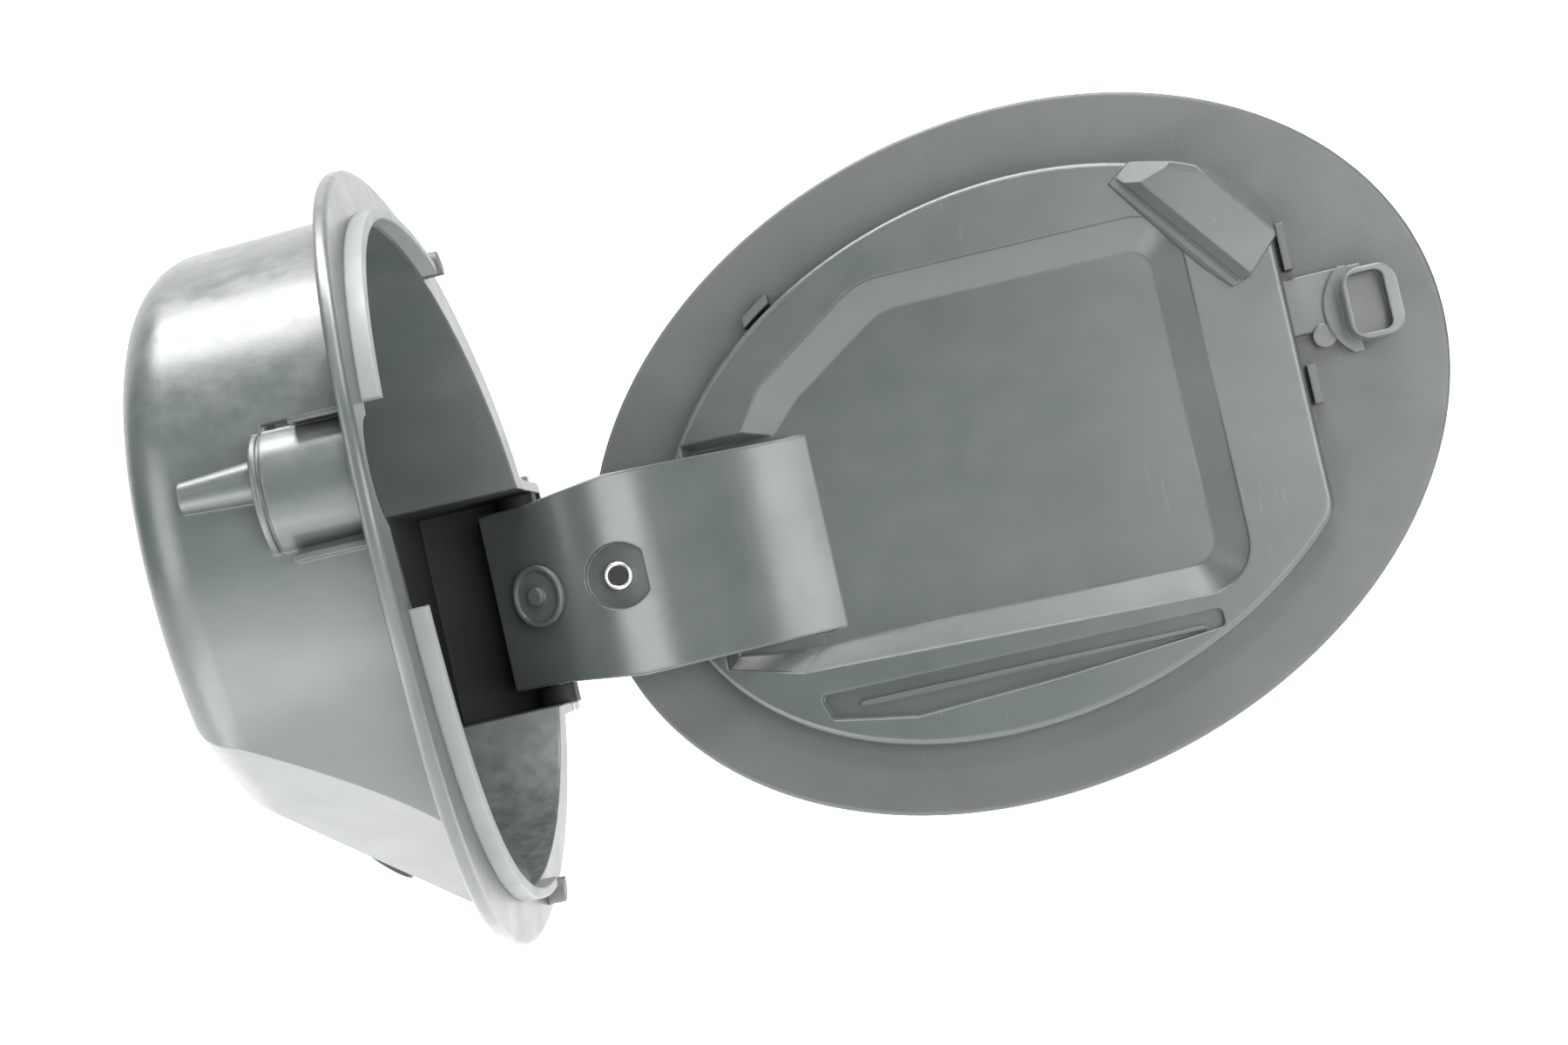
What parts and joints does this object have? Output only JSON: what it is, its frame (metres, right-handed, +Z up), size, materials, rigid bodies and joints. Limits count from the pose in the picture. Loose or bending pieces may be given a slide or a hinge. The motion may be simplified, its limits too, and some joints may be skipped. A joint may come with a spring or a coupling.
{
  "type": "car fuel door",
  "caption": "Oval car fuel door swung open on a goose-neck arm, with its filler bowl, neck seal, push latch, catch loop and cap holder.",
  "frame": {"origin": "middle of the bowl's mouth, on the outer face of its flange", "axes": "+X out of the car body, +Y to the hinge side, +Z up along the hinge axis"},
  "size_m": [0.2285, 0.2002, 0.1401],
  "materials": {
    "bowl_plastic": "satin moulded, grey with a green tint",
    "door_plastic": "satin moulded, grey with a green tint",
    "skin_plastic": "fine matt grain",
    "catch_plastic": "satin moulded",
    "lip_plastic": "soft, satin",
    "latch_plastic": "satin moulded, black",
    "seal_rubber": "matt moulded",
    "buffer_rubber": "matt moulded",
    "pin_steel": "drawn, zinc plated",
    "spring_steel": "drawn wire, oiled"
  },
  "bodies": {
    "bowl": {"bowl": "bowl_plastic", "neck_seal": "seal_rubber", "drain_nipple": "seal_rubber", "bump_stops": "buffer_rubber", "rim_lip": "lip_plastic", "hinge_pin": "pin_steel", "hinge_spring": "spring_steel", "latch_sleeve": "latch_plastic", "latch_spring": "spring_steel"},
    "door": {"door_carrier": "door_plastic", "outer_skin": "skin_plastic", "cap_holder": "door_plastic", "catch": "catch_plastic", "arm_sleeve": "pin_steel", "arm_plug": "door_plastic"},
    "plunger": {"latch_plunger": "latch_plastic"}
  },
  "joints": [
    {"name": "door_hinge", "type": "hinge", "parent": "bowl", "child": "door", "pos_m": [-0.004, 0.1013, 0], "axis": [0, 0, 1], "range_deg": [-86, 0], "stiffness_Nm_per_rad": 0.03, "springref_deg": 22.92},
    {"name": "plunger_slide", "type": "slide", "parent": "bowl", "child": "plunger", "axis": [1, 0, 0], "range_m": [-0.005, 0], "stiffness_N_per_m": 150, "springref_m": 0.006, "deforming": ["latch_spring"]}
  ]
}
